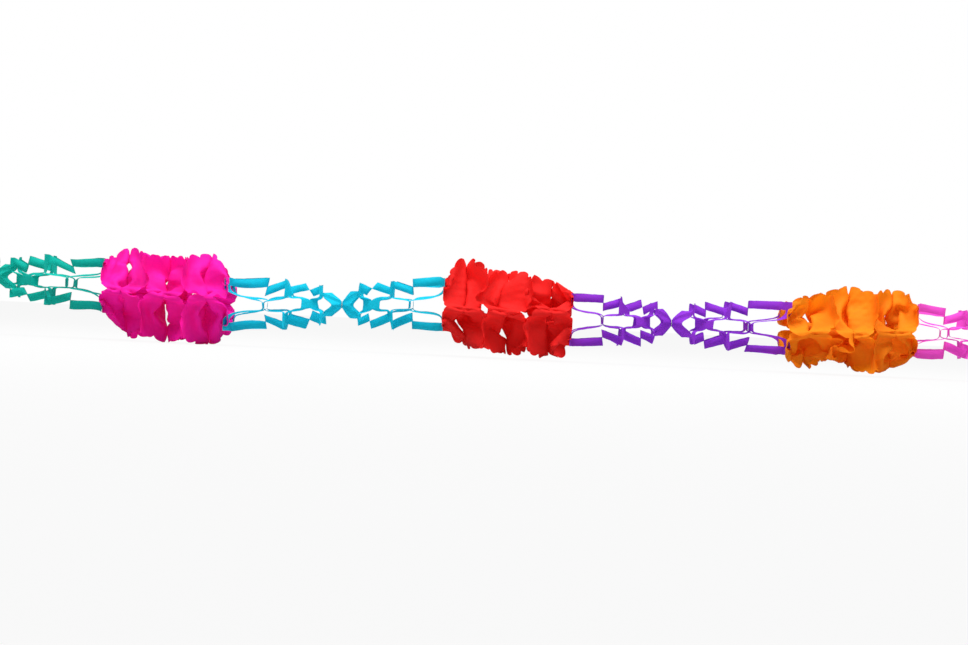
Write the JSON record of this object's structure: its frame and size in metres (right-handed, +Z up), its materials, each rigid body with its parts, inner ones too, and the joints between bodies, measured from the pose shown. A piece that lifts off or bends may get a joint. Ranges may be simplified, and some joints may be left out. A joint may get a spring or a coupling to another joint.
{
  "type": "party garland",
  "caption": "Tissue-paper party garland, pulled open and lying down: tapering square nets and scalloped flowers by turns, each in one bright colour, with a card tab at each end.",
  "frame": {"origin": "on the table surface under the middle of the garland's bounding box", "axes": "+X along the garland to the right, +Z up, and the picture looks along +Y"},
  "size_m": [1.6388, 0.1456, 0.1529],
  "materials": {
    "teal_tissue": "matte tissue",
    "magenta_tissue": "matte tissue",
    "cyan_tissue": "matte tissue",
    "red_tissue": "matte tissue",
    "purple_tissue": "matte tissue",
    "orange_tissue": "matte tissue",
    "pink_tissue": "matte tissue",
    "card": "matte card",
    "glue": "dried clear glue"
  },
  "bodies": {
    "red_left": {"red_sheet_1": "red_tissue", "red_sheet_2": "red_tissue", "red_sheet_3": "red_tissue"},
    "red_right": {"red_sheet_4": "red_tissue", "red_sheet_5": "red_tissue", "red_sheet_6": "red_tissue"},
    "purple_left": {"purple_net_left": "purple_tissue"},
    "purple_waist": {"purple_glue_spot": "glue"},
    "purple_right": {"purple_net_right": "purple_tissue"},
    "orange_left": {"orange_sheet_1": "orange_tissue", "orange_sheet_2": "orange_tissue", "orange_sheet_3": "orange_tissue"},
    "orange_right": {"orange_sheet_4": "orange_tissue", "orange_sheet_5": "orange_tissue", "orange_sheet_6": "orange_tissue"},
    "pink_half": {"pink_net": "pink_tissue"},
    "right_end": {"right_glue_spot": "glue", "right_end_card": "card"},
    "cyan_right": {"cyan_net_right": "cyan_tissue"},
    "cyan_waist": {"cyan_glue_spot": "glue"},
    "cyan_left": {"cyan_net_left": "cyan_tissue"},
    "magenta_right": {"magenta_sheet_4": "magenta_tissue", "magenta_sheet_5": "magenta_tissue", "magenta_sheet_6": "magenta_tissue"},
    "magenta_left": {"magenta_sheet_1": "magenta_tissue", "magenta_sheet_2": "magenta_tissue", "magenta_sheet_3": "magenta_tissue"},
    "teal_half": {"teal_net": "teal_tissue"},
    "left_end": {"left_glue_spot": "glue", "left_end_card": "card"}
  },
  "joints": [
    {"name": "red_flower_fold", "type": "slide", "parent": "red_left", "child": "red_right", "axis": [-1, 0, 0], "range_m": [0, 0.1854], "deforming": ["red_sheet_1", "red_sheet_2", "red_sheet_3", "red_sheet_4", "red_sheet_5", "red_sheet_6"]},
    {"name": "purple_net_fold", "type": "slide", "parent": "red_right", "child": "purple_left", "axis": [-1, 0, 0], "range_m": [0, 0.144], "deforming": ["purple_net_left"]},
    {"name": "purple_waist_tilt", "type": "hinge", "parent": "purple_left", "child": "purple_waist", "pos_m": [0.2672, 0, 0.07044], "axis": [0, 1, 0], "range_deg": [-15, 15]},
    {"name": "purple_waist_swing", "type": "hinge", "parent": "purple_waist", "child": "purple_right", "pos_m": [0.2672, 0, 0.07044], "axis": [0, 0, 1], "range_deg": [-15, 15]},
    {"name": "purple_net_fold_far", "type": "slide", "parent": "purple_right", "child": "orange_left", "axis": [-1, 0, 0], "range_m": [0, 0.15984], "deforming": ["purple_net_right"]},
    {"name": "orange_flower_fold", "type": "slide", "parent": "orange_left", "child": "orange_right", "axis": [-1, 0, 0], "range_m": [0, 0.1872], "deforming": ["orange_sheet_1", "orange_sheet_2", "orange_sheet_3", "orange_sheet_4", "orange_sheet_5", "orange_sheet_6"]},
    {"name": "pink_net_fold", "type": "slide", "parent": "orange_right", "child": "pink_half", "axis": [-1, 0, 0], "range_m": [0, 0.14832], "deforming": ["pink_net"]},
    {"name": "right_end_tilt", "type": "hinge", "parent": "pink_half", "child": "right_end", "pos_m": [0.8176, 0, 0.07344], "axis": [0, 1, 0], "range_deg": [-15, 15]},
    {"name": "cyan_net_fold", "type": "slide", "parent": "red_left", "child": "cyan_right", "axis": [1, 0, 0], "range_m": [0, 0.14544], "deforming": ["cyan_net_right"]},
    {"name": "cyan_waist_swing", "type": "hinge", "parent": "cyan_right", "child": "cyan_waist", "pos_m": [-0.2604, 0, 0.07444], "axis": [0, 0, 1], "range_deg": [-15, 15]},
    {"name": "cyan_waist_tilt", "type": "hinge", "parent": "cyan_waist", "child": "cyan_left", "pos_m": [-0.2604, 0, 0.07444], "axis": [0, 1, 0], "range_deg": [-15, 15]},
    {"name": "cyan_net_fold_far", "type": "slide", "parent": "cyan_left", "child": "magenta_right", "axis": [1, 0, 0], "range_m": [0, 0.1584], "deforming": ["cyan_net_left"]},
    {"name": "magenta_flower_fold", "type": "slide", "parent": "magenta_right", "child": "magenta_left", "axis": [1, 0, 0], "range_m": [0, 0.1818], "deforming": ["magenta_sheet_1", "magenta_sheet_2", "magenta_sheet_3", "magenta_sheet_4", "magenta_sheet_5", "magenta_sheet_6"]},
    {"name": "teal_net_fold", "type": "slide", "parent": "magenta_left", "child": "teal_half", "axis": [1, 0, 0], "range_m": [0, 0.16128], "deforming": ["teal_net"]},
    {"name": "left_end_tilt", "type": "hinge", "parent": "teal_half", "child": "left_end", "pos_m": [-0.8176, 0, 0.09344], "axis": [0, 1, 0], "range_deg": [-15, 15]}
  ],
  "couplings": [
    {"joint": "purple_net_fold_far", "follows": "purple_net_fold", "ratio": 1.11},
    {"joint": "cyan_net_fold_far", "follows": "cyan_net_fold", "ratio": 1.089}
  ]
}
